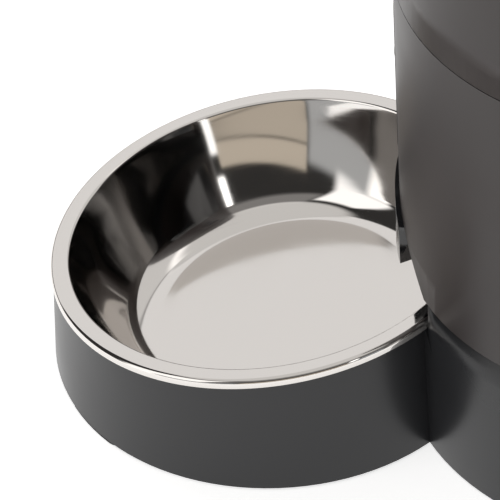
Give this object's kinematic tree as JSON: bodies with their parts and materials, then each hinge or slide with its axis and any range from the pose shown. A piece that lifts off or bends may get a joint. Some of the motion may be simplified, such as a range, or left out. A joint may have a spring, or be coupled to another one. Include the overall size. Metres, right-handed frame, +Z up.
{
  "type": "automatic pet feeder",
  "caption": "Automatic pet feeder: a cylindrical food tower with a lift-off tank and lid, a rotor and chute, and a steel bowl in a round holder.",
  "frame": {"origin": "on the floor plane under the middle of the feeder's bounding box", "axes": "+Y from the bowl to the tower, +Z up, +X completes a right-handed frame: it is the left-hand side of someone who faces the feeder's front over the bowl"},
  "size_m": [0.1946, 0.3288, 0.305],
  "materials": {
    "bowl_steel": "polished, spun",
    "base_charcoal": "satin",
    "tower_charcoal": "semi-gloss",
    "black_gloss": "gloss",
    "black_matte": "fine grain",
    "white_plastic": "satin",
    "foot_rubber": "matte",
    "silicone": "matte",
    "screw_steel": "bright",
    "spring_steel": "nickel plated",
    "pinion_brass": "machined",
    "motor_can": "zinc plated",
    "cell_wrap": "printed film without text",
    "board_green": "solder mask",
    "lens_smoke": "smoked",
    "pack_fabric": "woven"
  },
  "bodies": {
    "housing": {"base_housing": "base_charcoal", "bottom_cover": "black_matte", "rubber_feet": "foot_rubber", "cover_screws": "screw_steel", "battery_tray": "black_matte", "battery_cover": "black_matte", "battery_screw": "screw_steel", "batteries": "cell_wrap", "battery_contacts": "spring_steel", "power_jack": "black_matte", "tower_body": "tower_charcoal", "tower_screws": "screw_steel", "chute": "black_gloss", "chute_screws": "screw_steel", "food_sensors": "black_matte", "rotor_housing": "white_plastic", "housing_screws": "screw_steel", "chamber_cover": "white_plastic", "shaft_bush": "white_plastic", "motor": "motor_can", "gearbox_cover": "white_plastic", "gearbox_screws": "screw_steel", "control_panel": "tower_charcoal", "display_lens": "lens_smoke", "main_board": "board_green", "board_screws": "screw_steel"},
    "bowl": {"bowl": "bowl_steel"},
    "tank": {"tank": "tower_charcoal", "tank_seal": "silicone"},
    "lid": {"lid": "tower_charcoal", "lid_liner": "black_matte", "liner_screws": "screw_steel", "lid_seal": "silicone"},
    "lock_knob": {"lock_knob": "black_matte", "lock_cam": "white_plastic", "knob_screw": "screw_steel"},
    "bolt_right": {"bolt_right": "white_plastic"},
    "bolt_left": {"bolt_left": "white_plastic"},
    "dry_cup": {"desiccant_box": "white_plastic", "desiccant_pack": "pack_fabric"},
    "rotor": {"rotor": "white_plastic", "paddle_tips": "silicone", "agitator": "white_plastic", "drive_shaft": "screw_steel", "drive_gear": "white_plastic"},
    "pinion": {"pinion": "pinion_brass", "motor_shaft": "screw_steel"},
    "feed_button": {"feed_button": "black_matte"},
    "up_button": {"up_button": "black_matte"},
    "down_button": {"down_button": "black_matte"}
  },
  "joints": [
    {"name": "bowl_tilt", "type": "hinge", "parent": "housing", "child": "bowl", "pos_m": [0, 0.00242, 0.06387], "axis": [-1, 0, 0], "range_deg": [0, 14]},
    {"name": "tank_lift", "type": "slide", "parent": "housing", "child": "tank", "axis": [0, 0, 1], "range_m": [0, 0.12]},
    {"name": "lid_lift", "type": "slide", "parent": "tank", "child": "lid", "axis": [0, 0, 1], "range_m": [0, 0.06]},
    {"name": "knob_turn", "type": "hinge", "parent": "lid", "child": "lock_knob", "pos_m": [0, 0.06707, 0.3], "axis": [0, 0, 1], "range_deg": [0, 60]},
    {"name": "bolt_right_slide", "type": "slide", "parent": "lid", "child": "bolt_right", "axis": [1, 0, 0], "range_m": [0, 0.0032]},
    {"name": "bolt_left_slide", "type": "slide", "parent": "lid", "child": "bolt_left", "axis": [-1, 0, 0], "range_m": [0, 0.0032]},
    {"name": "cup_twist", "type": "hinge", "parent": "lid", "child": "dry_cup", "pos_m": [0, 0.06707, 0.27], "axis": [0, 0, 1], "range_deg": [0, 45]},
    {"name": "rotor_spin", "type": "hinge", "parent": "housing", "child": "rotor", "pos_m": [0, 0.06707, 0.13], "axis": [0, 0, 1], "continuous": true},
    {"name": "pinion_spin", "type": "hinge", "parent": "housing", "child": "pinion", "pos_m": [0, 0.09307, 0.11], "axis": [0, 0, 1], "continuous": true},
    {"name": "feed_button_press", "type": "slide", "parent": "housing", "child": "feed_button", "axis": [0, 1, 0], "range_m": [0, 0.001], "stiffness_N_per_m": 300},
    {"name": "up_button_press", "type": "slide", "parent": "housing", "child": "up_button", "axis": [0, 1, 0], "range_m": [0, 0.001], "stiffness_N_per_m": 300},
    {"name": "down_button_press", "type": "slide", "parent": "housing", "child": "down_button", "axis": [0, 1, 0], "range_m": [0, 0.001], "stiffness_N_per_m": 300}
  ],
  "couplings": [
    {"joint": "pinion_spin", "follows": "rotor_spin", "ratio": -2.7143},
    {"joint": "bolt_right_slide", "follows": "knob_turn", "m_per_rad": 0.0030558},
    {"joint": "bolt_left_slide", "follows": "knob_turn", "m_per_rad": 0.0030558}
  ]
}
